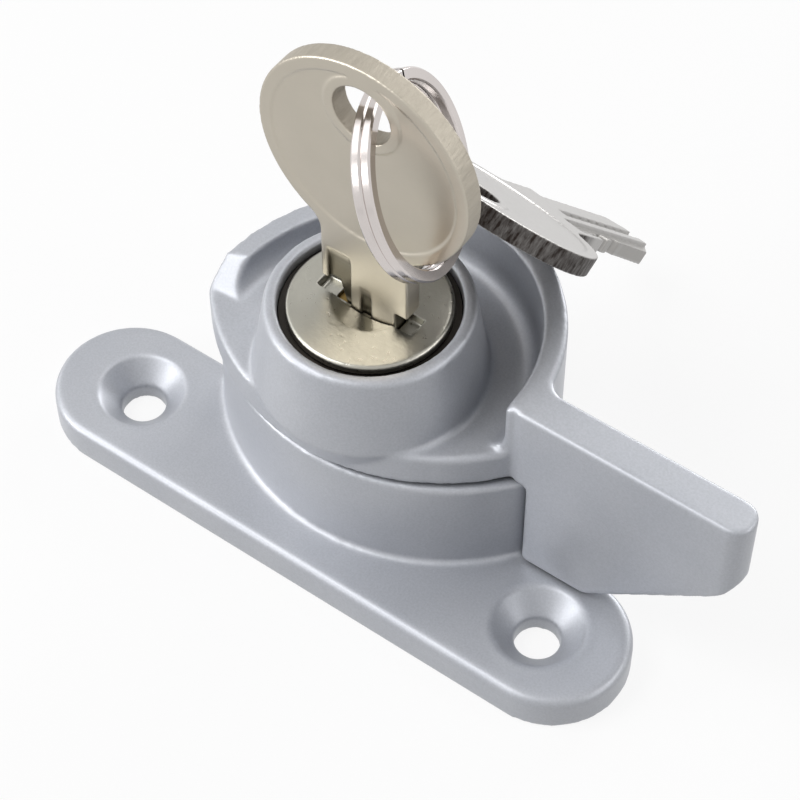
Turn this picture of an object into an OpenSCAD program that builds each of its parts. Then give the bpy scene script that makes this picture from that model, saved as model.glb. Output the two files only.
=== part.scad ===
// Sliding window lock: a keyed crescent lock with its key, split ring and spare key.
// Millimetres. The origin is on the back of the base plate, halfway between the screw holes.
// X runs along the plate, +Y towards the crescent, +Z away from the window frame.
// Modelled locked, with the key in and the lock bolt drawn back.

/* [Base plate] */
// Length of the base plate over its round ends
plate_length = 69.2; // [60:0.1:100]
// Width of the base plate
plate_width = 16; // [13:0.1:20]
// Thickness of the base plate
plate_t = 4.2; // [3:0.1:6]
// Rounding of the plate's upper edge
plate_edge_r = 0.8; // [0.3:0.1:1.5]
// Distance between the two screw holes
hole_spacing = 50; // [46:0.5:80]
// Diameter of a screw hole
hole_d = 4.6; // [3.2:0.1:5.2]
// Diameter of a countersink at the plate's face
sink_d = 9.3; // [7:0.1:11]
// Raised lip left round a countersink
sink_lip = 0.05; // [0.05:0.05:0.3]

/* [Boss of the base] */
// Height of the boss above the back of the plate
boss_top = 16.1; // [13:0.1:20]
// Radius of the boss's front arc
front_arc_r = 23.3; // [21:0.1:30]
// Depth of the front arc in front of the pivot
front_depth = 10.1; // [9.8:0.1:12.5]
// Distance of the pivot behind the line of the screws
pivot_y = 6.8; // [5:0.1:9]
// Radius of the boss's round back
boss_back_r = 14; // [12:0.1:16]
// Thickness of the boss's walls and roof
boss_wall = 2.2; // [1.6:0.1:3]
// Thickness of the ribs inside the boss
rib_t = 1.8; // [1.2:0.1:2.6]

/* [Bearing] */
// Radius of the handle's spindle
spindle_r = 7.5; // [7.3:0.1:9]
// Radial running clearance of the spindle
run_gap = 0.05; // [0.02:0.01:0.1]
// Wall of the bearing tube
bearing_wall = 2.2; // [1.6:0.1:2.5]
// Height of the bearing tube's lower end above the back
bearing_bottom = 5.4; // [4.6:0.1:6]
// Gap between the boss and the handle's flange
flange_gap = 0.3; // [0.2:0.05:0.6]
// Working height of the conical spring washer
spring_washer_h = 1.1; // [0.8:0.05:1.3]
// Thickness of the thrust washer and of the retaining ring
washer_t = 0.6; // [0.4:0.05:0.8]
// Depth of the retaining ring's groove in the spindle
groove_depth = 0.9; // [0.5:0.05:1.2]

/* [Handle] */
// Outer radius of the crescent wall
cam_r = 18.9; // [18:0.1:24]
// Thickness of the flange
flange_t = 4; // [3:0.1:5]
// Radius of the hub where it meets the flange
hub_foot_r = 11.64; // [11.2:0.01:14]
// Radius of the hub at its rim
hub_rim_r = 10.2; // [9.9:0.1:12]
// Height of the hub above the flange
hub_h = 9.2; // [8:0.1:11.5]
// Rounding of the hub's rim
hub_edge_r = 0.6; // [0.2:0.1:0.9]
// Direction of the flat facet at the flange's front right
facet_angle = -58; // [-70:1:-45]
// Distance of the facet's right end from the pivot along the lever
facet_end = 16.9; // [15.5:0.1:17.5]
// Turn of the flange's outline against the boss's
flange_turn = 4; // [0:0.5:6]

/* [Crescent wall] */
// Thickness of the crescent wall
wall_t = 2.4; // [1.8:0.1:3]
// Height of the wall's top above the flange at its high end
wall_h = 6.8; // [5.5:0.1:8.2]
// Mean height of the wall's sloping top above the flange
ramp_mean = 4.5; // [3.5:0.1:5.4]
// Rise of the sloping top on each side of its mean
ramp_rise = 2.7; // [1.5:0.1:3.2]
// Direction of the sloping top's highest point
ramp_dir = 30; // [0:1:60]
// Fillet along the wall's inner foot
wall_fillet = 2; // [1:0.1:2.6]
// Angle of the slope at the wall's open end
end_slope = 36; // [20:1:50]

/* [Lever] */
// Reach of the lever from the pivot
lever_reach = 42.3; // [38:0.1:52]
// Thickness of the lever
lever_t = 4.1; // [3:0.1:5]
// Distance of the lever's front face in front of the pivot
lever_front = 1.45; // [1:0.05:2.5]
// Upright length of the lever's tip
tip_h = 8.3; // [6:0.1:10]
// Width of the skirt at its lower edge
skirt_w = 7.5; // [6:0.1:9]
// Gap between the skirt and the boss
skirt_gap = 0.3; // [0.2:0.05:0.6]
// Gap between the skirt and the plate's face
skirt_clear = 0.35; // [0.25:0.05:0.8]
// Rounding of the lever's tip seen from above
tip_r = 1.2; // [0.5:0.1:1.8]
// Fillet between the crescent wall and the lever's back
root_fillet = 2; // [1:0.1:3]

/* [Lock cylinder] */
// Outer radius of the cylinder housing
housing_r = 8.75; // [8.6:0.01:9]
// Radial gap between the housing and the hub's bore
housing_gap = 0.12; // [0.05:0.01:0.2]
// Length of the cylinder housing
housing_l = 10.5; // [9:0.1:12]
// Radius of the plug
plug_r = 6; // [5.9:0.05:6.1]
// Radial running clearance of the plug
plug_gap = 0.06; // [0.03:0.01:0.1]
// Radius of the plug's face
face_r = 8.1; // [7.6:0.05:8.4]
// Thickness of the plug's face
face_t = 0.95; // [0.8:0.05:1.2]
// Depth of the plug's face below the hub's rim
face_drop = 0.1; // [0:0.05:0.4]
// Radius of the round dish in the plug's face
dish_r = 3.65; // [3:0.05:5]
// Depth of the dish
dish_depth = 0.85; // [0.3:0.05:1]
// Depth of the lead-in slot across the plug's face
lead_in = 1; // [0.6:0.1:1.4]
// Radius of the cross pin that holds the housing
pin_r = 0.8; // [0.6:0.05:1]
// Thickness of the clip that holds the plug
clip_t = 0.8; // [0.6:0.05:1]

/* [Wafers] */
// Thickness of a wafer
wafer_t = 1; // [0.8:0.05:1.1]
// Width of a wafer across the keyway
wafer_w = 4.6; // [4.3:0.1:4.8]
// Clearance of a wafer in its slot
wafer_gap = 0.05; // [0.03:0.01:0.1]
// Land left above the first wafer
top_land = 0.5; // [0.4:0.1:0.8]
// Land left below the last wafer
bottom_land = 1.4; // [1:0.1:2]
// Wire diameter of a wafer spring
wire_d = 0.22; // [0.18:0.01:0.26]

/* [Lock bolt] */
// Width of the lock bolt
bolt_w = 5; // [4.2:0.1:6]
// Height of the lock bolt
bolt_t = 2.8; // [2.2:0.1:3.2]
// Height of the lock bolt's underside above the back
bolt_z = 6.4; // [6.2:0.1:7]
// Throw radius of the plug's drive pin
throw_r = 2; // [1.6:0.1:2.2]
// Radius of the drive pin
drive_r = 0.9; // [0.7:0.05:1]
// Clearance of the drive pin in the bolt
drive_gap = 0.12; // [0.1:0.01:0.2]
// Sliding clearance of the bolt in its guide
bolt_gap = 0.06; // [0.04:0.01:0.1]

/* [Keys] */
// Thickness of a key
key_t = 2.07; // [1.8:0.01:2.2]
// Radius of the key's round bow
bow_r = 11.45; // [10:0.1:13]
// Height of the bow's centre above the shoulder
bow_h = 18.2; // [17:0.05:24]
// Half the width of the key's neck
neck_w = 4.95; // [4.6:0.05:5.6]
// Half the width of the blade
blade_w = 3.5; // [3.3:0.05:4.1]
// Radius of the hole in the bow
key_hole_r = 3.1; // [2.8:0.1:3.4]
// Distance of the hole from the bow's centre
key_hole_up = 6; // [5.6:0.1:6.4]
// Width of the border round the bow's face
border_w = 1.3; // [0.9:0.1:1.8]
// Depth of the bow's pressed face
emboss = 0.13; // [0.05:0.01:0.25]
// Offset of the keyway from the plug's axis
key_off = 0; // [-0.6:0.05:0]
// Offset of the key's middle along its width from the plug's axis
key_side = 0.1; // [0:0.05:0.6]
// Height of the key's shoulders above the plug's face when its tip is home
key_up = 1.7; // [0.1:0.1:2.5]
// Clearance of the blade in the keyway
key_gap = 0.08; // [0.05:0.01:0.12]

/* [Split ring] */
// Mean radius of the split ring
ring_r = 9.06; // [9:0.01:10]
// Width of one coil along the ring's axis
coil_w = 1; // [0.8:0.02:1.2]
// Thickness of a coil across its flat
coil_t = 1.2; // [0.9:0.05:1.3]

/* [Hidden] */
$fn = 64;
eps = 0.02;

// Levels, from the back of the plate upwards
end_x = (plate_length - plate_width) / 2;
washer_z = bearing_bottom - bolt_gap - spring_washer_h - washer_t - bolt_gap;
retainer_z = washer_z - bolt_gap - washer_t;
spindle_end = retainer_z - groove_depth;
bolt_top = bolt_z + bolt_t;
bolt_back = spindle_r - 2.1;
plug_end = bolt_top + 0.4;
flange_z = boss_top + flange_gap;
flange_top = flange_z + flange_t;
wall_top = flange_top + wall_h;
hub_top = flange_top + hub_h;
face_z = hub_top - face_drop;
housing_top = face_z - face_t - bolt_gap;
housing_end = housing_top - housing_l;
clip_z = housing_end - 0.1 - clip_t;
seat_z = clip_z - 0.1;
key_z = face_z + key_up;

// Plan sizes
front_y = pivot_y - front_depth;
arc_y = front_y + front_arc_r;
bore_r = spindle_r + run_gap;
tube_r = bore_r + bearing_wall;
hub_bore = housing_r + housing_gap;
wall_in = cam_r - wall_t;
lever_y = pivot_y - lever_front;
skirt_x = cam_r + skirt_gap;
skirt_z = plate_t + skirt_clear;
ramp_tilt = atan(ramp_rise / cam_r);

// Keyway, wafers and the key's cuts
tail_wall = 1.2;
blade_l = key_z - plug_end - tail_wall;
key_y = pivot_y + key_off;
way_t = key_t + 2 * key_gap;
cuts = [1.1, 1.7, 0.8, 1.4, 1];
wafers = len(cuts);
pitch = (housing_l - top_land - bottom_land - wafer_t) / (wafers - 1);
function wafer_z(i) = housing_top - top_land - wafer_t / 2 - i * pitch;
slot_t = wafer_t + 2 * wafer_gap;
// Wards of the keyway and grooves of the blade: side, from and to along the key's width,
// depth, and how far the straight groove rises above the shoulders before it runs out
wards = [[-1, -4.15, -1.7, 0.5, 1.4], [-1, -0.4, 0.65, 0.45, -1.8], [1, 0.8, 1.9, 0.45, -1.8]];
cutter_r = 10;
spring_y = key_off + wafer_w / 2 + 1;
spring_or = (wafer_t - 0.04) / 2;
tab_x = 2.3;
spring_x0 = -2.5;
turns = 4;

// Places of the split ring and of the spare key, as they hang in the photograph
ring_at = [3.02, 9.47, key_z + 15.32];
ring_lean = 66.4;
ring_turn = 18.9;
spare_at = [4.85, 19.59, key_z + 4.06];
spare_lean = 41.74;
spare_roll = -3.4;
spare_turn = 170.65;

module at_pivot() { translate([0, pivot_y, 0]) children(); }

// What a square corner loses when it is rounded, corner at the origin
module corner(r) {
  difference() {
    translate([-eps, -eps]) square(r + eps);
    translate([r, r]) circle(r);
  }
}

// Outline that boss and flange share: the front arc inside the crescent's circle
module lens(inset = 0) {
  intersection() {
    translate([0, arc_y]) circle(front_arc_r - inset, $fn = 120);
    translate([0, pivot_y]) circle(cam_r - inset, $fn = 120);
  }
}

module boss_outline(inset = 0) {
  intersection() {
    lens(inset);
    translate([-60, -60]) square([120, 60 + plate_width / 2 - inset]);
  }
  intersection() {
    at_pivot() circle(boss_back_r - inset, $fn = 96);
    translate([-60, plate_width / 2 - boss_wall - 1]) square([120, 60]);
  }
}

// Half of the plate's cross-section, with a rounded upper edge
module plate_half() {
  difference() {
    square([plate_width / 2, plate_t]);
    translate([plate_width / 2, plate_t]) rotate(180) corner(plate_edge_r);
  }
}

module base_casting() color("silver") {
  difference() {
    union() {
      for (s = [-1, 1]) {
        translate([s * end_x, 0, 0]) rotate_extrude($fn = 96) plate_half();
        translate([s * hole_spacing / 2, 0, 0])
          cylinder(r = sink_d / 2 + 0.6, h = plate_t + sink_lip);
      }
      rotate([90, 0, 90]) translate([0, 0, -end_x]) linear_extrude(2 * end_x) {
        plate_half();
        mirror([1, 0]) plate_half();
      }
      linear_extrude(boss_top) boss_outline();
      at_pivot() cylinder(r = tube_r - 0.6, h = flange_z - bolt_gap);
    }
    // Cored from beneath, leaving the bearing tube and four ribs
    difference() {
      translate([0, 0, -1]) linear_extrude(boss_top - boss_wall + 1) boss_outline(boss_wall);
      at_pivot() {
        translate([0, 0, bearing_bottom]) cylinder(r = tube_r, h = boss_top);
        for (a = [28, 152, 205, 335]) rotate(a)
          translate([spindle_r + 1, -rib_t / 2, bearing_bottom]) cube([cam_r, rib_t, boss_top]);
      }
    }
    at_pivot() {
      translate([0, 0, -1]) cylinder(r = bore_r, h = flange_z + 2);
      translate([0, 0, -1]) cylinder(r = bore_r + 1.2, h = bearing_bottom + 1);
      // Notches that the lock bolt enters, one for each end of the handle's turn
      for (s = [0, 180]) rotate(s)
        translate([spindle_r - 1, -bolt_w / 2 - 0.3, bolt_z - 0.3])
          cube([tube_r - spindle_r + 3, bolt_w + 0.6, bolt_t + 0.6]);
    }
    for (s = [-1, 1]) translate([s * hole_spacing / 2, 0, 0]) {
      translate([0, 0, -1]) cylinder(r = hole_d / 2, h = plate_t + 2);
      translate([0, 0, plate_t - (sink_d - hole_d) / 2])
        cylinder(r1 = hole_d / 2, r2 = sink_d / 2 + 0.5, h = (sink_d - hole_d) / 2 + 0.5);
    }
  }
}

// The lens as the handle has it, turned a little about the pivot
module handle_lens() {
  at_pivot() rotate(flange_turn) translate([0, -pivot_y]) lens();
}

// Outline of the flange: the lens cut by the straight facet, beside the hub
module flange_outline() {
  difference() {
    handle_lens();
    at_pivot() rotate(facet_angle) translate([hub_foot_r - 0.04, -60]) square([60, 120]);
    translate([facet_end, lever_y - 60]) square([60, 60]);
  }
}

module hub_profile() {
  difference() {
    polygon([[0, flange_z], [front_depth, flange_z], [hub_foot_r, flange_top],
      [hub_rim_r, hub_top], [0, hub_top]]);
    translate([hub_rim_r, hub_top]) rotate(180) corner(hub_edge_r);
    translate([hub_bore, hub_top]) mirror([0, 1]) corner(0.3);
  }
}

// What the wall's open end loses: it rises from nothing at the flange's left corner
module open_end() {
  corner_y = (arc_y * arc_y - pivot_y * pivot_y - front_arc_r * front_arc_r + cam_r * cam_r)
    / (2 * (arc_y - pivot_y));
  at_pivot() rotate(flange_turn) translate([-cam_r - 1, corner_y - pivot_y, flange_top])
    rotate([end_slope, 0, 0]) translate([0, -20, 0]) cube([cam_r - 6, 40, 20]);
}

// The crescent: a round wall on the flange, with a sloping top and a filleted foot
module crescent_wall() difference() {
  intersection() {
    at_pivot() rotate_extrude($fn = 120) {
      translate([wall_in, flange_top - 1]) square([wall_t, wall_h + 1]);
      translate([wall_in, flange_top]) mirror([1, 0]) corner(wall_fillet);
      translate([wall_in - wall_fillet, flange_top - 1]) square([wall_fillet, 1]);
    }
    linear_extrude(wall_top) difference() {
      handle_lens();
      translate([0, lever_y - 60]) square([60, 60]);
    }
    translate([0, pivot_y, flange_top + ramp_mean]) rotate([0, 0, ramp_dir])
      rotate([0, -ramp_tilt, 0]) translate([-60, -60, -60]) cube([120, 120, 60]);
  }
  open_end();
}

module lever_plan() {
  reach = lever_reach;
  difference() {
    translate([wall_in, lever_y]) square([reach - wall_in, lever_t]);
    translate([wall_in, lever_y]) corner(wall_t - 0.4);
    translate([reach, lever_y]) mirror([1, 0]) corner(tip_r);
    translate([reach, lever_y + lever_t]) rotate(180) corner(tip_r);
  }
  // Fillet between the crescent wall and the lever's back
  back = lever_y + lever_t;
  up = back - pivot_y + root_fillet;
  cx = sqrt(pow(cam_r + root_fillet, 2) - up * up);
  k = cam_r / (cam_r + root_fillet);
  difference() {
    polygon([[wall_in + 1, back - 0.3], [cx, back - 0.3], [cx, back],
      [cx * k, pivot_y + up * k], [wall_in + 1, pivot_y + up * k]]);
    translate([cx, pivot_y + up]) circle(root_fillet);
  }
}

// Side view of the lever and its skirt, with the raised tip
module lever_side() {
  low = skirt_x + skirt_w;
  tip_z = wall_top - tip_h;
  polygon([[wall_in, flange_z], [wall_in, wall_top], [lever_reach, wall_top],
    [lever_reach, tip_z], [lever_reach - 1, tip_z - 1.7], [lever_reach - 2.7, tip_z - 3.4],
    [low + 0.9, skirt_z + 0.75], [low, skirt_z + 0.1], [low - 0.6, skirt_z],
    [skirt_x + 0.4, skirt_z], [skirt_x, skirt_z + 0.4], [skirt_x, flange_z]]);
}

module handle_casting() color("lightsteelblue") {
  difference() {
    union() {
      translate([0, 0, flange_z]) linear_extrude(flange_t) flange_outline();
      at_pivot() rotate_extrude($fn = 96) hub_profile();
      crescent_wall();
      intersection() {
        linear_extrude(wall_top) lever_plan();
        translate([0, lever_y + lever_t + root_fillet + 3, 0]) rotate([90, 0, 0])
          linear_extrude(lever_t + root_fillet + 6) lever_side();
      }
      at_pivot() translate([0, 0, spindle_end]) cylinder(r = spindle_r, h = flange_z);
    }
    at_pivot() {
      translate([0, 0, housing_end]) cylinder(r = hub_bore, h = 40);
      translate([0, 0, seat_z]) cylinder(r = plug_r + 1.7, h = 5);
      translate([0, 0, bolt_top + 0.15]) cylinder(r = plug_r + plug_gap, h = 40);
      // Guide of the lock bolt, and the round pocket of the drive pin
      translate([-bolt_back - 0.5, -bolt_w / 2 - bolt_gap, bolt_z - bolt_gap])
        cube([bolt_back + 0.5 + spindle_r + 1, bolt_w + 2 * bolt_gap, bolt_t + 2 * bolt_gap]);
      translate([0, 0, bolt_z - bolt_gap])
        cylinder(r = throw_r + drive_r + 0.2, h = bolt_t + 1);
      // Groove of the retaining ring
      translate([0, 0, retainer_z - 0.05]) difference() {
        cylinder(r = spindle_r + 1, h = washer_t + 0.1);
        translate([0, 0, -1]) cylinder(r = spindle_r - groove_depth, h = washer_t + 2);
      }
      cross_pin();
    }
  }
}

module cross_pin() {
  z = housing_end + housing_l / 2;
  reach = hub_foot_r - (hub_foot_r - hub_rim_r) * (z - flange_top) / hub_h;
  translate([0, housing_r - 1.4, z]) rotate([-90, 0, 0])
    cylinder(r = pin_r, h = reach - housing_r + 1.4 - 0.25, $fn = 32);
}

module cylinder_pin() color("dimgray") at_pivot() cross_pin();

module spring_washer() color("dimgray") at_pivot() {
  top = bearing_bottom - bolt_gap;
  low = top - spring_washer_h;
  rotate_extrude($fn = 96)
    polygon([[bore_r + 0.1, top - 0.4], [bore_r + 0.1, top], [bore_r + 1, low + 0.4],
      [bore_r + 1, low]]);
}

module thrust_washer() color("gainsboro") at_pivot() translate([0, 0, washer_z])
  difference() {
    cylinder(r = bore_r + 1.1, h = washer_t, $fn = 96);
    translate([0, 0, -1]) cylinder(r = bore_r, h = washer_t + 2, $fn = 96);
  }

// A ring cut open on one side, with small eyes left and right of its gap
module open_ring(r_in, r_out, h, gap) {
  difference() {
    cylinder(r = r_out, h = h, $fn = 96);
    translate([0, 0, -1]) cylinder(r = r_in, h = h + 2, $fn = 96);
    translate([0, -gap / 2, -1]) cube([r_out + 1, gap, h + 2]);
  }
}

module retaining_ring() color("dimgray") at_pivot() translate([0, 0, retainer_z]) rotate(90)
  open_ring(spindle_r - groove_depth + 0.03, bore_r + 0.9, washer_t, 4);

module cylinder_housing() color("goldenrod") difference() {
  at_pivot() translate([0, 0, housing_end]) cylinder(r = housing_r, h = housing_l, $fn = 96);
  at_pivot() {
    translate([0, 0, housing_end - 1]) cylinder(r = plug_r + plug_gap, h = housing_l + 2, $fn = 96);
    // Grooves that the wafers spring into when the key is drawn
    translate([-plug_r - 1.5, key_off - wafer_w / 2 - 0.1, housing_end + bottom_land - 0.3])
      cube([2 * plug_r + 3, wafer_w + 0.2, housing_l]);
    cross_pin();
  }
}

module face_profile() {
  difference() {
    square([face_r, face_z]);
    translate([plug_r, -1]) square([5, housing_top + bolt_gap + 1]);
    translate([-1, -1]) square([20, plug_end + 1]);
    translate([face_r, face_z]) rotate(180) corner(0.4);
  }
}

module lock_plug() color("khaki") difference() {
  dish_sphere = (dish_r * dish_r + dish_depth * dish_depth) / (2 * dish_depth);
  at_pivot() union() {
    rotate_extrude($fn = 96) face_profile();
    rotate(-135) translate([throw_r, 0, bolt_z + 0.3])
      cylinder(r = drive_r, h = plug_end - bolt_z, $fn = 48);
  }
  at_pivot() {
    // Round dish in the face, and the lead-in slot, longer than the key's neck is wide
    translate([0, 0, face_z - dish_depth + dish_sphere]) sphere(dish_sphere, $fn = 96);
    translate([key_side - neck_w - 0.55, key_off - way_t / 2, face_z - lead_in])
      cube([2 * neck_w + 1.1, way_t, 2]);
    // Keyway with its wards
    translate([key_side, key_off, plug_end + tail_wall - 0.3]) difference() {
      translate([-blade_w - key_gap, -way_t / 2, 0])
        cube([2 * (blade_w + key_gap), way_t, 40]);
      for (w = wards) mirror([0, w[0] < 0 ? 1 : 0])
        translate([w[1], way_t / 2 - w[3], -1])
          cube([w[2] - w[1], 2, face_z - lead_in - plug_end - tail_wall + 1.3]);
    }
    for (i = [0:wafers - 1]) translate([0, 0, wafer_z(i) - slot_t / 2]) {
      translate([-plug_r - 1, key_off - wafer_w / 2 - wafer_gap, 0])
        cube([2 * plug_r + 2, wafer_w + 2 * wafer_gap, slot_t]);
      translate([spring_x0 - 0.1, key_off, 0])
        cube([tab_x + 1.9 - spring_x0, wafer_w / 2 + 1.6, slot_t]);
    }
    // Groove of the plug's clip
    translate([0, 0, clip_z - 0.05]) difference() {
      cylinder(r = plug_r + 1, h = clip_t + 0.1);
      translate([0, 0, -1]) cylinder(r = plug_r - 0.8, h = clip_t + 2);
    }
  }
}

module plug_clip() color("dimgray") at_pivot() translate([0, 0, clip_z]) rotate(90)
  open_ring(plug_r - 0.77, plug_r + 1.4, clip_t, 3);

// A wafer: a plate as wide as the plug, whose window rests on the key's cut
module wafer(i) color("peru") at_pivot() translate([0, 0, wafer_z(i) - wafer_t / 2])
  linear_extrude(wafer_t) difference() {
    union() {
      intersection() {
        circle(plug_r - 0.06, $fn = 96);
        translate([-plug_r, key_off - wafer_w / 2]) square([2 * plug_r, wafer_w]);
      }
      translate([tab_x, key_off]) square([1, wafer_w / 2 + 1.5]);
    }
    translate([key_side - blade_w + cuts[i] - key_gap, key_off - way_t / 2 - 0.05])
      square([2 * blade_w - cuts[i] + key_gap + 0.5, way_t + 0.1]);
  }

module wafer_1() wafer(0);
module wafer_2() wafer(1);
module wafer_3() wafer(2);
module wafer_4() wafer(3);
module wafer_5() wafer(4);

// A coil spring along X, swept as one closed tube of five sides
function coil_point(t, r, l, w, k) =
  let (a = 360 * turns * t, q = 72 * k)
  [w + (l - 2 * w) * t + w * cos(q), (r - w + w * sin(q)) * cos(a), (r - w + w * sin(q)) * sin(a)];

module coil_spring(r, l, w) {
  n = 12 * turns;
  points = [for (j = [0:n]) for (k = [0:4]) coil_point(j / n, r, l, w, k)];
  sides = [for (j = [0:n - 1]) for (k = [0:4])
    [j * 5 + k, j * 5 + (k + 1) % 5, (j + 1) * 5 + (k + 1) % 5, (j + 1) * 5 + k]];
  faces = concat([[for (k = [0:4]) 4 - k]], sides, [[for (k = [0:4]) n * 5 + k]]);
  polyhedron(points, [for (f = faces) [for (v = [0:len(f) - 1]) f[v]]], convexity = 6);
}

module wafer_spring(i) color("black")
  translate([spring_x0, pivot_y + spring_y, wafer_z(i)])
    coil_spring(spring_or, tab_x - spring_x0 - 0.02, wire_d / 2);

module wafer_spring_1() wafer_spring(0);
module wafer_spring_2() wafer_spring(1);
module wafer_spring_3() wafer_spring(2);
module wafer_spring_4() wafer_spring(3);
module wafer_spring_5() wafer_spring(4);

module lock_bolt() color("slategray") at_pivot() {
  pin_x = -throw_r * cos(45);
  pin_y = -throw_r * sin(45);
  slot_w = 2 * (drive_r + drive_gap);
  x1 = spindle_r - 0.3;
  translate([0, 0, bolt_z]) linear_extrude(bolt_t) difference() {
    translate([-bolt_back, -bolt_w / 2]) square([bolt_back + x1, bolt_w]);
    translate([pin_x - slot_w / 2, -bolt_w / 2 - 1])
      square([slot_w, bolt_w / 2 + 1 + pin_y + drive_r + drive_gap]);
    for (s = [0, 1]) translate([x1, 0]) mirror([0, s]) translate([0, -bolt_w / 2])
      mirror([1, 0]) corner(0.6);
  }
}

// A key, standing on its shoulder at the origin with the bow upwards
module key_outline() {
  f = 2.5;
  cx = neck_w + f;
  cz = bow_h - sqrt(pow(bow_r + f, 2) - cx * cx);
  k = bow_r / (bow_r + f);
  tz = bow_h - (bow_h - cz) * k;
  translate([0, bow_h]) circle(bow_r, $fn = 120);
  translate([-neck_w, 0]) square([2 * neck_w, bow_h]);
  for (s = [0, 1]) mirror([s, 0]) difference() {
    polygon([[0, cz], [neck_w, cz], [cx * k, tz], [0, tz]]);
    translate([cx, cz]) circle(f);
  }
  polygon(concat([[0, 1], [-blade_w, 1]],
    [for (i = [0:wafers - 1]) for (s = [-1, 1])
      [-blade_w + cuts[i], wafer_z(i) - key_z - s * 0.6]],
    [[-blade_w + 0.5, -blade_l + 2.4], [-1.8, -blade_l], [1.6, -blade_l],
     [blade_w, -blade_l + 2], [blade_w, 1]]));
}

module key_solid() {
  difference() {
    rotate([90, 0, 0]) translate([0, 0, -key_t / 2]) linear_extrude(key_t) difference() {
      key_outline();
      translate([0, bow_h + key_hole_up]) circle(key_hole_r, $fn = 48);
    }
    for (s = [0, 180]) rotate(s) {
      // Pressed face inside the border, leaving a rim round the hole
      translate([0, key_t / 2 - emboss, 0]) rotate([-90, 0, 0]) linear_extrude(1) difference() {
        translate([0, -bow_h]) circle(bow_r - border_w, $fn = 96);
        translate([0, -bow_h - key_hole_up]) circle(key_hole_r + 1, $fn = 48);
      }
    }
    // Milled grooves along the blade, which clear the wards and run out upwards
    for (w = wards) mirror([0, w[0] < 0 ? 1 : 0])
      translate([w[1] - key_gap, key_t / 2 - w[3], 0]) {
        translate([0, 0, -blade_l - 1]) cube([w[2] - w[1] + 2 * key_gap, 2, blade_l + 1 + w[4]]);
        translate([0, cutter_r, w[4]]) rotate([0, 90, 0])
          cylinder(r = cutter_r, h = w[2] - w[1] + 2 * key_gap, $fn = 180);
      }
  }
}

module key_in_lock() color("tan") translate([key_side, key_y, key_z]) key_solid();

module spare_key() color("tan") translate(spare_at) rotate([spare_lean, spare_roll, 0])
  rotate([0, 0, spare_turn]) translate([0, 0, -bow_h]) key_solid();

// Two flat coils of wire side by side, each opened where its end lies
module ring_profile() {
  for (s = [-1, 1]) translate([ring_r, s * (coil_w / 2 - 0.01)]) {
    intersection() {
      square([coil_t, coil_w], center = true);
      circle(sqrt(coil_t * coil_t + coil_w * coil_w) / 2 * 0.86, $fn = 32);
    }
  }
}

module key_ring() color("whitesmoke") translate(ring_at) rotate([0, ring_lean, ring_turn])
  difference() {
    rotate_extrude($fn = 96) ring_profile();
    for (s = [0, 1]) rotate(150 + 24 * s) mirror([0, 0, s])
      translate([ring_r - 2, -0.15, 0.06]) cube([4, 0.3, 3]);
  }

base_casting();
handle_casting();
spring_washer();
thrust_washer();
retaining_ring();
cylinder_housing();
cylinder_pin();
lock_plug();
plug_clip();
wafer_1();
wafer_2();
wafer_3();
wafer_4();
wafer_5();
wafer_spring_1();
wafer_spring_2();
wafer_spring_3();
wafer_spring_4();
wafer_spring_5();
lock_bolt();
key_in_lock();
key_ring();
spare_key();
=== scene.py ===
"""Sliding window lock: lacquered die castings, plated cylinder, keys and split ring, in a pale studio."""

import math

import bmesh
import bpy
from bpy.props import FloatProperty, FloatVectorProperty, IntProperty, PointerProperty, StringProperty
from bpy.types import Operator, Panel, PropertyGroup
from mathutils import Matrix, Vector


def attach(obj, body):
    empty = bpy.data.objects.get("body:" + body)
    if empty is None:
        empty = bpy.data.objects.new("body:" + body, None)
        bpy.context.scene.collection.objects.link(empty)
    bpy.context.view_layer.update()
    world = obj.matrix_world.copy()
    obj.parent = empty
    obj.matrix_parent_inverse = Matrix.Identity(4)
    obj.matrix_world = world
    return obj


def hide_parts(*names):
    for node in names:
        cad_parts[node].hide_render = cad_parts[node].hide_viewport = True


bl_info = {
    "name": "Sliding Window Lock",
    "version": (1, 0, 0),
    "blender": (4, 5, 0),
    "location": "3D View > Sidebar > Window Lock",
    "description": "Finishes the crescent lock's castings, cylinder, keys and ring, and lights them",
    "category": "Object",
}

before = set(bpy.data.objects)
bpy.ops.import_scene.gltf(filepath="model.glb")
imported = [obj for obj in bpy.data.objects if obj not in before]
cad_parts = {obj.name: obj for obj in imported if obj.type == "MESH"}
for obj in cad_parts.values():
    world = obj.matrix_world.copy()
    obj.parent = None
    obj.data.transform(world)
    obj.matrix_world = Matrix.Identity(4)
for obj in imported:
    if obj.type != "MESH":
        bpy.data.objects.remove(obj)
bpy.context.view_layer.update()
MM = 0.001

# The lever's tip in the CAD model, its corners there, and the softer corners of the real casting
LEVER_END, LEVER_MIDDLE, LEVER_WIDTH = 42.3 * MM, 7.4 * MM, 4.1 * MM
CAD_CORNER, CAST_CORNER = 1.2 * MM, 2.0 * MM
# Half a key's thickness, half its neck's width with some to spare, and its shoulder below its bow's middle
KEY_HALF, NECK_HALF, BOW_TO_SHOULDER = 1.035 * MM, 4.6 * MM, 18.2 * MM
WAFERS = 5
# Softboxes of one size, all at one distance from a point in the lock
LAMP_SIZE, LAMP_DISTANCE = 220 * MM, 450 * MM
LIT_POINT = Vector((5, 10, 15)) * MM
# The floor lies a hair under the base plate, so that the two never share a plane
FLOOR_HALF, FLOOR_GAP = 3.0, 0.02 * MM


# Settings that a user would change


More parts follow.
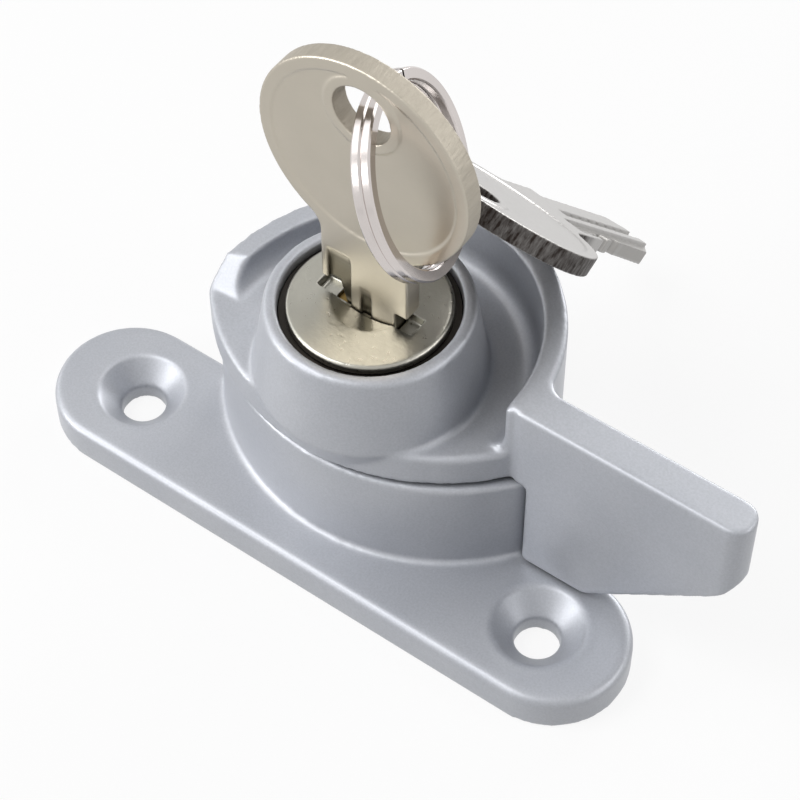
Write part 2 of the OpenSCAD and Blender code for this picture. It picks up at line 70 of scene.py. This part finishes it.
class CastingSettings(PropertyGroup):
    """Edges and lacquer of the two zinc castings."""

    voxel: FloatProperty(
        name="Edge detail", description="Voxel that the castings are remeshed with",
        default=0.273 * MM, min=0.2 * MM, max=0.6 * MM, subtype="DISTANCE", unit="LENGTH", precision=5)
    passes: IntProperty(
        name="Softening", description="Smoothing passes that round the cast edges",
        default=4, min=0, max=20)
    lacquer: StringProperty(
        name="Lacquer", description="Colour of the satin silver lacquer", default="#B9BBC0")
    shade: StringProperty(
        name="Lacquer shade", description="Darker drift of the lacquer", default="#A9ACB3")


class PlatingSettings(PropertyGroup):
    """Nickel plating of the cylinder, the keys and the ring."""

    voxel: FloatProperty(
        name="Edge detail", description="Voxel that keys and plug are remeshed with",
        default=0.11 * MM, min=0.1 * MM, max=0.4 * MM, subtype="DISTANCE", unit="LENGTH", precision=5)
    passes: IntProperty(
        name="Softening", description="Smoothing passes that round the stamped edges",
        default=3, min=0, max=20)
    key_colour: StringProperty(
        name="Key", description="Colour of the key's satin nickel", default="#BBB4A7")
    spare_colour: StringProperty(
        name="Spare key", description="Colour of the spare key's satin nickel", default="#A8A6A4")
    face_colour: StringProperty(
        name="Cylinder face", description="Colour of the plug's nickel", default="#A8A69D")
    ring_colour: StringProperty(
        name="Ring", description="Colour of the ring's bright nickel", default="#D6CFCC")


class StageSettings(PropertyGroup):
    """Camera, lamps and floor."""

    azimuth: FloatProperty(
        name="Azimuth", description="Camera direction round the lock; 0 looks along +Y",
        default=math.radians(35.91), subtype="ANGLE", unit="ROTATION")
    elevation: FloatProperty(
        name="Elevation", description="Camera height above the horizon",
        default=math.radians(52.33), subtype="ANGLE", unit="ROTATION")
    roll: FloatProperty(
        name="Roll", description="Camera roll",
        default=math.radians(-0.14), subtype="ANGLE", unit="ROTATION")
    distance: FloatProperty(
        name="Distance", description="Distance of the camera from its target",
        default=265.5 * MM, subtype="DISTANCE", unit="LENGTH")
    target: FloatVectorProperty(
        name="Target", description="Point in the picture's middle",
        default=(-4.17 * MM, 17.34 * MM, 0.0), subtype="XYZ", unit="LENGTH", precision=5)
    lens: FloatProperty(
        name="Lens", description="Focal length on a 36 mm sensor", default=111.93, unit="CAMERA")


# Colours and nodes


def linear(code):
    """Turn an sRGB hex code such as #B3B6BF into linear red, green, blue and alpha."""
    values = [int(code[i:i + 2], 16) / 255 for i in (1, 3, 5)]
    return tuple(v / 12.92 if v <= 0.04045 else ((v + 0.055) / 1.055) ** 2.4 for v in values) + (1.0,)


def add_node(tree, kind, settings=None, links=None):
    """Add one shader node, set its properties and inputs, and link its inputs from other sockets."""
    node = tree.nodes.new(kind)
    for key, value in (settings or {}).items():
        if isinstance(key, str) and hasattr(node, key):
            setattr(node, key, value)
        else:
            node.inputs[key].default_value = value
    for key, socket in (links or {}).items():
        tree.links.new(socket, node.inputs[key])
    return node


def new_material(name):
    """Make an empty node material and return it with its tree and its output."""
    material = bpy.data.materials.new(name)
    material.use_nodes = True
    tree = material.node_tree
    tree.nodes.clear()
    return material, tree, tree.nodes.new("ShaderNodeOutputMaterial")


def lacquered_zinc(settings):
    """Zinc die casting under a sprayed silver lacquer: the flakes give a metallic satin tone, the cast
    skin beneath shows as a slight orange peel, and narrow gaps are darkened with painted shade."""
    material, tree, out = new_material("satin_lacquer_on_zinc_casting")
    coords = add_node(tree, "ShaderNodeTexCoord").outputs["Object"]
    # Slow drift of the sprayed coat, about 9 mm across
    drift = add_node(tree, "ShaderNodeTexNoise", {"Scale": 1 / (9 * MM), "Detail": 2.0, "Roughness": 0.5},
                     {"Vector": coords}).outputs["Fac"]
    # Orange peel of the coat, waves of about 0.9 mm
    peel = add_node(tree, "ShaderNodeTexNoise", {"Scale": 1 / (0.9 * MM), "Detail": 2.0, "Roughness": 0.5},
                    {"Vector": coords}).outputs["Fac"]
    # Metal flakes are under 0.05 mm; drawn at 0.22 mm so that they show
    flake = add_node(tree, "ShaderNodeTexNoise", {"Scale": 1 / (0.22 * MM), "Detail": 2.0, "Roughness": 0.6},
                     {"Vector": coords}).outputs["Fac"]
    tone = add_node(tree, "ShaderNodeMix",
                    {"data_type": "RGBA", 6: linear(settings.lacquer), 7: linear(settings.shade)}, {0: drift})
    # The flakes vary the tone by a few hundredths either way
    glint = add_node(tree, "ShaderNodeMapRange",
                     {"From Min": 0.3, "From Max": 0.7, "To Min": 0.93, "To Max": 1.07},
                     {"Value": flake}).outputs[0]
    grainy = add_node(tree, "ShaderNodeVectorMath", {"operation": "SCALE"},
                      {0: tone.outputs[2], "Scale": glint}).outputs[0]
    # Painted shade: the coat darkens towards near-black grey in gaps under about 1 mm, as where the handle runs over
    # the base
    open_to = add_node(tree, "ShaderNodeAmbientOcclusion", {"samples": 8, "Distance": 1.0 * MM})
    shade_mask = add_node(tree, "ShaderNodeMapRange",
                    {"From Min": 0.05, "From Max": 0.4, "To Min": 0.85, "To Max": 0.0},
                    {"Value": open_to.outputs["AO"]}).outputs[0]
    coat = add_node(tree, "ShaderNodeMix", {"data_type": "RGBA", 7: linear("#26282D")},
                    {0: shade_mask, 6: grainy}).outputs[2]
    rough = add_node(tree, "ShaderNodeMapRange", {"To Min": 0.37, "To Max": 0.52}, {"Value": flake}).outputs[0]
    fine = add_node(tree, "ShaderNodeBump", {"Strength": 0.1, "Distance": 0.02 * MM},
                    {"Height": flake}).outputs["Normal"]
    skin = add_node(tree, "ShaderNodeBump", {"Strength": 0.15, "Distance": 0.05 * MM},
                    {"Height": peel, "Normal": fine}).outputs["Normal"]
    shader = add_node(tree, "ShaderNodeBsdfPrincipled",
                      {"Metallic": 0.45, "Coat Weight": 0.16, "Coat Roughness": 0.28},
                      {"Base Color": coat, "Roughness": rough, "Normal": skin})
    tree.links.new(shader.outputs[0], out.inputs[0])
    return material


def nickel_plate(name, colour, roughness, grain, bump, recess_shade=0.0):
    """Nickel plate on brass or steel: a warm white metal whose shine depends on the base's finish.
    grain is the size in mm of the marks that the base metal leaves under the plate, and recess_shade is
    how strongly painted shade darkens its slots and corners."""
    material, tree, out = new_material(name)
    coords = add_node(tree, "ShaderNodeTexCoord").outputs["Object"]
    marks = add_node(tree, "ShaderNodeTexNoise", {"Scale": 1 / (grain * MM), "Detail": 2.0, "Roughness": 0.5},
                     {"Vector": coords}).outputs["Fac"]
    # Clouding of the plate, about 6 mm across
    cloud = add_node(tree, "ShaderNodeTexNoise", {"Scale": 1 / (6 * MM), "Detail": 2.0},
                     {"Vector": coords}).outputs["Fac"]
    base = linear(colour)
    clouded = tuple(c * 0.84 for c in base[:3]) + (1.0,)
    tone = add_node(tree, "ShaderNodeMix", {"data_type": "RGBA", 6: base, 7: clouded}, {0: cloud}).outputs[2]
    if recess_shade:
        # Painted shade: recesses narrower than about 0.6 mm are darkened towards near black
        open_to = add_node(tree, "ShaderNodeAmbientOcclusion",
                           {"only_local": True, "samples": 8, "Distance": 0.6 * MM})
        shade_mask = add_node(tree, "ShaderNodeMapRange",
                        {"From Min": 0.15, "From Max": 0.5, "To Min": recess_shade, "To Max": 0.0},
                        {"Value": open_to.outputs["AO"]}).outputs[0]
        tone = add_node(tree, "ShaderNodeMix", {"data_type": "RGBA", 7: linear("#1C1814")},
                        {0: shade_mask, 6: tone}).outputs[2]
    rough = add_node(tree, "ShaderNodeMapRange", {"To Min": roughness * 0.75, "To Max": roughness * 1.3},
                     {"Value": marks}).outputs[0]
    normal = add_node(tree, "ShaderNodeBump", {"Strength": bump, "Distance": 0.04 * MM},
                      {"Height": marks}).outputs["Normal"]
    shader = add_node(tree, "ShaderNodeBsdfPrincipled", {"Metallic": 1.0},
                      {"Base Color": tone, "Roughness": rough, "Normal": normal})
    tree.links.new(shader.outputs[0], out.inputs[0])
    return material


def stamped_nickel(piece, colour, dark, groove_shade, turn):
    """Stamped and barrel-polished brass under satin nickel: flat faces are even and warm, the bow's
    sheared edge keeps the torn grain of the blanking die across it, dark and rough, and the milled
    grooves are darkened with painted shade."""
    material, tree, out = new_material(f"satin_nickel_{piece}")
    coords = add_node(tree, "ShaderNodeTexCoord").outputs["Object"]
    sheared = add_node(tree, "ShaderNodeAttribute", {"attribute_name": "sheared"}).outputs["Fac"]
    milled = add_node(tree, "ShaderNodeAttribute", {"attribute_name": "milled"}).outputs["Fac"]
    # Clouding of the satin plate, about 5 mm across
    cloud = add_node(tree, "ShaderNodeTexNoise", {"Scale": 1 / (5 * MM), "Detail": 2.0},
                     {"Vector": coords}).outputs["Fac"]
    # Barrel-polishing marks of about 0.5 mm
    marks = add_node(tree, "ShaderNodeTexNoise", {"Scale": 1 / (0.5 * MM), "Detail": 4.0, "Roughness": 0.6},
                     {"Vector": coords}).outputs["Fac"]
    # Tears of the sheared edge, 0.5 mm wide and about 2 mm long across it
    across = add_node(tree, "ShaderNodeMapping",
                      {"vector_type": "TEXTURE", "Rotation": turn.to_euler(),
                       "Scale": (0.5 * MM, 2.0 * MM, 0.5 * MM)},
                      {"Vector": coords}).outputs[0]
    torn = add_node(tree, "ShaderNodeTexNoise", {"Scale": 1.0, "Detail": 4.0, "Roughness": 0.65},
                    {"Vector": across}).outputs["Fac"]
    base = linear(colour)
    clouded = tuple(c * 0.9 for c in base[:3]) + (1.0,)
    flat = add_node(tree, "ShaderNodeMix", {"data_type": "RGBA", 6: base, 7: clouded}, {0: cloud}).outputs[2]
    # Painted shade: the blade's grooves are darkened towards olive brown, as strongly as groove_shade says
    groove_mask = add_node(tree, "ShaderNodeMath", {"operation": "MULTIPLY", 1: groove_shade}, {0: milled}).outputs[0]
    groove_shaded = add_node(tree, "ShaderNodeMix", {"data_type": "RGBA", 7: linear("#4F4A3C")},
                      {0: groove_mask, 6: flat}).outputs[2]
    tear = add_node(tree, "ShaderNodeMapRange",
                    {"From Min": 0.38, "From Max": 0.62, "To Min": dark, "To Max": dark * 0.7},
                    {"Value": torn}).outputs[0]
    edge = add_node(tree, "ShaderNodeMath", {"operation": "MULTIPLY"}, {0: tear, 1: sheared}).outputs[0]
    tone = add_node(tree, "ShaderNodeMix", {"data_type": "RGBA", 7: linear("#2B2522")},
                    {0: edge, 6: groove_shaded}).outputs[2]
    satin = add_node(tree, "ShaderNodeMapRange", {"To Min": 0.28, "To Max": 0.4}, {"Value": marks}).outputs[0]
    rough = add_node(tree, "ShaderNodeMath", {"operation": "MULTIPLY_ADD", 1: 0.2}, {0: sheared, 2: satin}).outputs[0]
    grain = add_node(tree, "ShaderNodeBump", {"Strength": 0.12, "Distance": 0.03 * MM},
                     {"Height": marks}).outputs["Normal"]
    normal = add_node(tree, "ShaderNodeBump", {"Distance": 0.1 * MM},
                      {"Height": torn, "Strength": sheared, "Normal": grain}).outputs["Normal"]
    shader = add_node(tree, "ShaderNodeBsdfPrincipled", {"Metallic": 1.0},
                      {"Base Color": tone, "Roughness": rough, "Normal": normal})
    tree.links.new(shader.outputs[0], out.inputs[0])
    return material


# Shapes


def mark_key(obj, shoulder, turn):
    """Write two attributes on a key: sheared, 1 on the edge of its bow, and milled, 1 in the blade's grooves.
    The key's own axes are its width, its thickness and its length upwards from the shoulder."""
    sheared, milled = [], []
    for vertex in obj.data.vertices:
        x, y, z = turn.transposed() @ (vertex.co - shoulder)
        facing = abs(vertex.normal.dot(turn.col[1]))
        # The bow begins 2 mm above the shoulder, and its edge looks across the thickness
        above = min(1.0, max(0.0, (z - 2 * MM) / (3 * MM)))
        sheared.append(above * min(1.0, max(0.0, (0.75 - facing) / 0.35)))
        # The grooves, which the material darkens with painted shade, end 7 mm above the shoulder and lie 0.12 mm or
        # more below the faces
        groove = z < 7 * MM and abs(x) < NECK_HALF
        milled.append(min(1.0, max(0.0, (KEY_HALF - abs(y) - 0.12 * MM) / (0.2 * MM))) if groove else 0.0)
    for name, values in (("sheared", sheared), ("milled", milled)):
        obj.data.attributes.new(name, "FLOAT", "POINT").data.foreach_set("value", values)


def keep_mesh(obj, mesh):
    """Give an object a finished mesh and drop its old one and its modifiers."""
    old = obj.data
    obj.modifiers.clear()
    obj.data = mesh
    if old.users == 0:
        bpy.data.meshes.remove(old)


def soft_copy(name, node, voxel, passes, keep=1.0):
    """Copy a CAD node, weld it, remesh it and relax it, as tumbling and coating round real edges, and keep
    a share of its faces."""
    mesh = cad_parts[node].data.copy()
    obj = bpy.data.objects.new(name, mesh)
    bpy.context.scene.collection.objects.link(obj)
    obj.data.materials.clear()
    bm = bmesh.new()
    bm.from_mesh(mesh)
    bmesh.ops.remove_doubles(bm, verts=bm.verts, dist=0.002 * MM)
    bm.to_mesh(mesh)
    bm.free()
    remesh = obj.modifiers.new("skin", "REMESH")
    remesh.mode = "VOXEL"
    remesh.voxel_size = voxel
    bpy.context.view_layer.update()
    graph = bpy.context.evaluated_depsgraph_get()
    keep_mesh(obj, bpy.data.meshes.new_from_object(obj.evaluated_get(graph)))
    bm = bmesh.new()
    bm.from_mesh(obj.data)
    for _ in range(passes):
        bmesh.ops.smooth_vert(bm, verts=bm.verts, factor=0.5, use_axis_x=True, use_axis_y=True, use_axis_z=True)
    bm.to_mesh(obj.data)
    bm.free()
    if keep < 1:
        thin = obj.modifiers.new("thin", "DECIMATE")
        thin.ratio = keep
        bpy.context.view_layer.update()
        graph = bpy.context.evaluated_depsgraph_get()
        keep_mesh(obj, bpy.data.meshes.new_from_object(obj.evaluated_get(graph)))
    obj.data.polygons.foreach_set("use_smooth", [True] * len(obj.data.polygons))
    return obj


def round_tip(obj, end, middle, width, old, new):
    """Round the lever's tip in plan from one corner radius to a larger one; its top stays flat.
    end is where the tip ends in X, middle and width are the lever's in Y."""
    for vertex in obj.data.vertices:
        into = vertex.co.x - (end - new)
        if into <= 0:
            continue
        into = min(into, 0.995 * new)
        wanted = width / 2 - new + math.sqrt(new * new - into * into)
        past = min(max(0.0, into - (new - old)), 0.995 * old)
        present = width / 2 - old + math.sqrt(old * old - past * past)
        vertex.co.y = middle + (vertex.co.y - middle) * wanted / present


def finish_piece(obj, material, body, slot, *nodes):
    """Give a piece its material and body, and let it stand for its CAD nodes; slot is not used."""
    obj.data.materials.clear()
    obj.data.materials.append(material)
    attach(obj, body)
    if nodes:
        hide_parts(*nodes)


def paint_node(node, material):
    """Put a material on a CAD node that keeps its own shape."""
    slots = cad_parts[node].material_slots
    if not slots:
        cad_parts[node].data.materials.append(material)
    for slot in slots:
        slot.material = material


# Operators: one for each group of pieces


class WINDOWLOCK_OT_castings(Operator):
    """Soften and lacquer the base plate and the crescent handle"""

    bl_idname = "window_lock.castings"
    bl_label = "Castings"

    def execute(self, context):
        settings = context.scene.lock_castings
        lacquer = lacquered_zinc(settings)
        for name, node, body in (("base_body", "base_casting", "base"), ("handle_body", "handle_casting", "handle")):
            piece = soft_copy(name, node, settings.voxel, settings.passes)
            if node == "handle_casting":
                round_tip(piece, LEVER_END, LEVER_MIDDLE, LEVER_WIDTH, CAD_CORNER, CAST_CORNER)
            finish_piece(piece, lacquer, body, node, node)
        return {"FINISHED"}


class WINDOWLOCK_OT_cylinder(Operator):
    """Plate the lock cylinder's plug, and give its housing a dark colour as painted shade of the gap round the plug
    """

    bl_idname = "window_lock.cylinder"
    bl_label = "Lock cylinder"

    def execute(self, context):
        settings = context.scene.lock_plating
        # The plug's slot, dish and pockets are darkened with painted shade
        face = nickel_plate("nickel_plated_plug", settings.face_colour,
                            roughness=0.3, grain=0.45, bump=0.6, recess_shade=0.95)
        # The housing shows only in the gap round the plug; its near-black colour is painted shade of that gap
        gap_shade = nickel_plate("housing_dark_painted_gap_shade", "#35322F", roughness=0.4, grain=0.5, bump=0.1)
        plug = soft_copy("plug_body", "lock_plug", settings.voxel, 2, 0.35)
        finish_piece(plug, face, "plug", "plated_plug", "lock_plug")
        paint_node("cylinder_housing", gap_shade)
        return {"FINISHED"}


class WINDOWLOCK_OT_keys(Operator):
    """Plate the key in the lock and the spare key"""

    bl_idname = "window_lock.keys"
    bl_label = "Keys"

    def execute(self, context):
        settings = context.scene.lock_plating
        upright = Matrix.Identity(3)
        hanging = Matrix.Rotation(math.radians(-3.4), 3, "Y") @ Matrix.Rotation(math.radians(41.74), 3, "X") \
            @ Matrix.Rotation(math.radians(170.65), 3, "Z")
        # The keys' shoulders: the first key stands in the plug, the second hangs from its bow
        standing_at = Vector((0.1, 6.8, 31.2)) * MM
        hanging_at = Vector((4.85, 19.59, 35.26)) * MM + hanging @ Vector((0, 0, -BOW_TO_SHOULDER))
        for name, node, body, shoulder, turn, colour, dark, groove_shade in (
                ("key_body", "key_in_lock", "plug", standing_at, upright, settings.key_colour, 0.25, 0.9),
                ("spare_key_body", "spare_key", "spare", hanging_at, hanging, settings.spare_colour, 1.0, 0.2)):
            piece = soft_copy(name, node, settings.voxel, settings.passes, 0.53)
            mark_key(piece, shoulder, turn)
            finish_piece(piece, stamped_nickel(name, colour, dark, groove_shade, turn), body, "plated_key", node)
        return {"FINISHED"}


class WINDOWLOCK_OT_split_ring(Operator):
    """Plate the split ring"""

    bl_idname = "window_lock.split_ring"
    bl_label = "Split ring"

    def execute(self, context):
        settings = context.scene.lock_plating
        # The ring's narrow hollows are darkened with painted shade
        bright = nickel_plate("bright_nickel_ring", settings.ring_colour,
                              roughness=0.16, grain=0.8, bump=0.08, recess_shade=0.9)
        paint_node("key_ring", bright)
        return {"FINISHED"}


class WINDOWLOCK_OT_inner_parts(Operator):
    """Give the hidden parts of the lock their metals"""

    bl_idname = "window_lock.inner_parts"
    bl_label = "Inner parts"

    def execute(self, context):
        steel = nickel_plate("zinc_plated_steel", "#A9ACB0", roughness=0.3, grain=0.4, bump=0.1)
        spring = nickel_plate("oiled_spring_steel", "#5E5D5B", roughness=0.35, grain=0.3, bump=0.1)
        # The wafers' brass is dull and further darkened with painted shade, as they sit in the plug's shade
        brass = nickel_plate("brass_darkened_painted_shade", "#8F7849", roughness=0.45, grain=0.3, bump=0.1)
        for node in ("thrust_washer", "cylinder_pin", "lock_bolt"):
            paint_node(node, steel)
        for node in ("spring_washer", "retaining_ring", "plug_clip"):
            paint_node(node, spring)
        for i in range(1, WAFERS + 1):
            paint_node(f"wafer_{i}", brass)
            paint_node(f"wafer_spring_{i}", spring)
        return {"FINISHED"}


class WINDOWLOCK_OT_stage(Operator):
    """Set up the floor, the world, the lamps and the camera"""

    bl_idname = "window_lock.stage"
    bl_label = "Stage"

    def execute(self, context):
        settings = context.scene.lock_stage
        self.floor()
        self.world(context.scene)
        self.lamps()
        self.camera(context.scene, settings)
        context.scene.view_settings.view_transform = "Standard"
        return {"FINISHED"}

    def seen_rays(self, tree):
        """1 on the rays that show the white background: the camera's, and those of reflections and glass."""
        path = add_node(tree, "ShaderNodeLightPath")
        seen = path.outputs["Is Camera Ray"]
        for kind in ("Is Glossy Ray", "Is Transmission Ray"):
            seen = add_node(tree, "ShaderNodeMath", {"operation": "MAXIMUM"},
                            {0: seen, 1: path.outputs[kind]}).outputs[0]
        return seen

    def floor(self):
        """A wide pale floor: white to the camera and in the lock's reflections, with the lock's faint shadow
        on it, and grey to all other light, as the table under a studio sweep is."""
        mesh = bpy.data.meshes.new("floor")
        bm = bmesh.new()
        bmesh.ops.create_grid(bm, x_segments=1, y_segments=1, size=FLOOR_HALF)
        bm.to_mesh(mesh)
        bm.free()
        floor = bpy.data.objects.new("floor", mesh)
        bpy.context.scene.collection.objects.link(floor)
        floor.location = (0, 0, -FLOOR_GAP)
        material, tree, out = new_material("matt_white_sweep")
        table = add_node(tree, "ShaderNodeBsdfDiffuse", {"Color": linear("#AAAAAA")})
        paper = add_node(tree, "ShaderNodeBsdfDiffuse", {"Color": linear("#FAFAFA")})
        glow = add_node(tree, "ShaderNodeEmission", {"Color": (1, 1, 1, 1), "Strength": 1.0})
        # The white that the camera sees is mostly even, and partly lit, which keeps the shadow
        seen = add_node(tree, "ShaderNodeMixShader", {0: 0.88}, {1: paper.outputs[0], 2: glow.outputs[0]})
        mix = add_node(tree, "ShaderNodeMixShader", {},
                       {0: self.seen_rays(tree), 1: table.outputs[0], 2: seen.outputs[0]})
        tree.links.new(mix.outputs[0], out.inputs[0])
        mesh.materials.append(material)

    def world(self, scene):
        """White to the camera, in reflections and through glass, and a little light on everything else."""
        world = bpy.data.worlds.new("studio")
        world.use_nodes = True
        tree = world.node_tree
        tree.nodes.clear()
        out = tree.nodes.new("ShaderNodeOutputWorld")
        seen = self.seen_rays(tree)
        light = add_node(tree, "ShaderNodeBackground", {"Color": linear("#F2F4F8"), "Strength": 0.03})
        white = add_node(tree, "ShaderNodeBackground", {"Color": (1, 1, 1, 1), "Strength": 1.0})
        mix = add_node(tree, "ShaderNodeMixShader", {}, {0: seen, 1: light.outputs[0], 2: white.outputs[0]})
        tree.links.new(mix.outputs[0], out.inputs[0])
        scene.world = world

    def lamps(self):
        """Soft boxes round the table, all at one distance: azimuth from +X, elevation and power."""
        for name, azimuth, elevation, watts in (
                ("front_left_low", 225, 12, 1.05),
                ("back_low", 90, 12, 0.94),
                ("front_left_high", 225, 58, 0.80),
                ("right_back", 22, 35, 0.39),
                ("right_low", 0, 12, 0.23),
                ("front_softbox", 247, 35, 0.23),
                ("left_softbox", 202, 35, 0.14),
                ("back_high", 90, 58, 0.22),
                ("left_low", 180, 12, 0.17)):
            lamp = bpy.data.lights.new(name, "AREA")
            lamp.shape = "SQUARE"
            lamp.size = LAMP_SIZE
            lamp.energy = watts
            obj = bpy.data.objects.new(name, lamp)
            bpy.context.scene.collection.objects.link(obj)
            a, e = math.radians(azimuth), math.radians(elevation)
            away = Vector((math.cos(e) * math.cos(a), math.cos(e) * math.sin(a), math.sin(e)))
            obj.location = LIT_POINT + away * LAMP_DISTANCE
            obj.rotation_euler = away.to_track_quat("Z", "Y").to_euler()

    def camera(self, scene, settings):
        """The photograph's camera."""
        data = bpy.data.cameras.new("photo_camera")
        data.sensor_width = 36.0
        data.lens = settings.lens
        data.clip_start = 0.01
        data.clip_end = 20.0
        camera = bpy.data.objects.new("photo_camera", data)
        scene.collection.objects.link(camera)
        a, e = settings.azimuth, settings.elevation
        back = Vector((math.sin(a) * math.cos(e), -math.cos(a) * math.cos(e), math.sin(e)))
        camera.location = Vector(settings.target) + back * settings.distance
        turn = (-back).to_track_quat("-Z", "Y").to_matrix() @ Matrix.Rotation(settings.roll, 3, "Z")
        camera.rotation_euler = turn.to_euler()
        scene.camera = camera


class WINDOWLOCK_PT_panel(Panel):
    """Sidebar panel that lists the steps and their settings"""

    bl_idname = "WINDOWLOCK_PT_panel"
    bl_label = "Window Lock"
    bl_space_type = "VIEW_3D"
    bl_region_type = "UI"
    bl_category = "Window Lock"

    def draw(self, context):
        layout = self.layout
        for settings, names in (
                (context.scene.lock_castings, ("voxel", "passes", "lacquer", "shade")),
                (context.scene.lock_plating,
                 ("voxel", "passes", "key_colour", "spare_colour", "face_colour", "ring_colour")),
                (context.scene.lock_stage, ("azimuth", "elevation", "roll", "distance", "target", "lens"))):
            column = layout.column(align=True)
            for name in names:
                column.prop(settings, name)
        for operator in OPERATORS:
            layout.operator(operator.bl_idname)


OPERATORS = (
    WINDOWLOCK_OT_castings,
    WINDOWLOCK_OT_cylinder,
    WINDOWLOCK_OT_keys,
    WINDOWLOCK_OT_split_ring,
    WINDOWLOCK_OT_inner_parts,
    WINDOWLOCK_OT_stage,
)
CLASSES = (CastingSettings, PlatingSettings, StageSettings) + OPERATORS + (WINDOWLOCK_PT_panel,)


def register():
    """Register the classes and hang their settings on the scene."""
    for cls in CLASSES:
        bpy.utils.register_class(cls)
    bpy.types.Scene.lock_castings = PointerProperty(type=CastingSettings)
    bpy.types.Scene.lock_plating = PointerProperty(type=PlatingSettings)
    bpy.types.Scene.lock_stage = PointerProperty(type=StageSettings)


def unregister():
    """Take the settings and classes away again."""
    del bpy.types.Scene.lock_castings
    del bpy.types.Scene.lock_plating
    del bpy.types.Scene.lock_stage
    for cls in reversed(CLASSES):
        bpy.utils.unregister_class(cls)


def main():
    """Make every piece in order."""
    register()
    bpy.ops.window_lock.castings()
    bpy.ops.window_lock.cylinder()
    bpy.ops.window_lock.keys()
    bpy.ops.window_lock.split_ring()
    bpy.ops.window_lock.inner_parts()
    bpy.ops.window_lock.stage()


if __name__ == "__main__":
    main()
